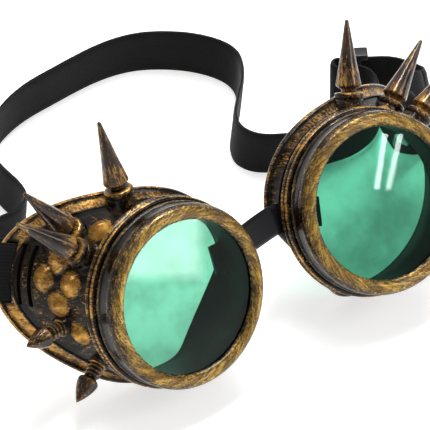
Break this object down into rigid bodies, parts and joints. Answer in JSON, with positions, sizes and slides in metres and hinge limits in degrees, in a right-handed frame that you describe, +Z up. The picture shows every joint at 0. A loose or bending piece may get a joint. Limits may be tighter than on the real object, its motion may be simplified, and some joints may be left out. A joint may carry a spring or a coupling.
{
  "type": "spiked goggles",
  "caption": "Round eye-cup goggles with screw-on lens rings, threaded lenses, cone and bullet spikes, a flat nose strip and an elastic head strap with a slider.",
  "frame": {"origin": "on the table, under the middle of the whole object's footprint", "axes": "+X along the two cups towards the right-hand cup as seen from the front, +Y towards the back of the strap, +Z up; the lenses face -Y and upwards"},
  "size_m": [0.2087, 0.1713, 0.0892],
  "materials": {
    "aged_body": "black plastic with rubbed bronze and gold paint",
    "aged_ring": "rubbed gold paint over black plastic",
    "aged_spike": "dark bronze paint with gold streaks",
    "tinted_lens": "polished, mint green tint",
    "screw_steel": "plain",
    "strip_vinyl": "smooth black vinyl",
    "slider_plastic": "moulded black",
    "strap_elastic": "ribbed woven elastic"
  },
  "bodies": {
    "bridge": {"nose_bridge_strip": "strip_vinyl", "head_strap": "strap_elastic"},
    "left_cup": {"left_eye_cup": "aged_body", "left_brow_spike": "aged_spike", "left_upper_spike": "aged_spike", "left_temple_spike": "aged_spike", "left_spike_screws": "screw_steel", "left_side_bullet": "aged_spike", "left_cheek_bullet": "aged_spike"},
    "left_lens": {"left_tinted_lens": "tinted_lens"},
    "left_ring": {"left_lens_ring": "aged_ring"},
    "right_cup": {"right_eye_cup": "aged_body", "right_brow_spike": "aged_spike", "right_upper_spike": "aged_spike", "right_temple_spike": "aged_spike", "right_spike_screws": "screw_steel", "right_side_bullet": "aged_spike", "right_cheek_bullet": "aged_spike"},
    "right_lens": {"right_tinted_lens": "tinted_lens"},
    "right_ring": {"right_lens_ring": "aged_ring"},
    "slider": {"strap_slider": "slider_plastic"}
  },
  "joints": [
    {"name": "bridge_flex", "type": "hinge", "parent": "bridge", "child": "left_cup", "pos_m": [-0.01738, -0.05162, 0.03465], "axis": [-0.0104, 0.4027, 0.9153], "range_deg": [-12, 12], "deforming": ["head_strap"]},
    {"name": "bridge_width", "type": "slide", "parent": "bridge", "child": "right_cup", "axis": [0.9751, -0.1199, -0.1864], "range_m": [-0.002, 0.004]},
    {"name": "left_lens_travel", "type": "slide", "parent": "left_cup", "child": "left_lens", "axis": [0.0909, -0.9111, 0.4019], "range_m": [0, 0.006]},
    {"name": "left_ring_turn", "type": "hinge", "parent": "left_lens", "child": "left_ring", "pos_m": [-0.04455, -0.0705, 0.04177], "axis": [0.0909, -0.9111, 0.4019], "range_deg": [0, 720]},
    {"name": "right_lens_travel", "type": "slide", "parent": "right_cup", "child": "right_lens", "axis": [-0.003, -0.848, 0.5299], "range_m": [0, 0.006]},
    {"name": "right_ring_turn", "type": "hinge", "parent": "right_lens", "child": "right_ring", "pos_m": [0.03345, -0.0705, 0.04378], "axis": [-0.003, -0.848, 0.5299], "range_deg": [0, 720]},
    {"name": "slider_travel", "type": "slide", "parent": "bridge", "child": "slider", "axis": [0.8553, -0.5181, 0], "range_m": [0, 0.003]}
  ],
  "couplings": [
    {"joint": "left_ring_turn", "follows": "left_lens_travel", "rad_per_m": 2094.4},
    {"joint": "right_ring_turn", "follows": "right_lens_travel", "rad_per_m": 2094.4}
  ]
}
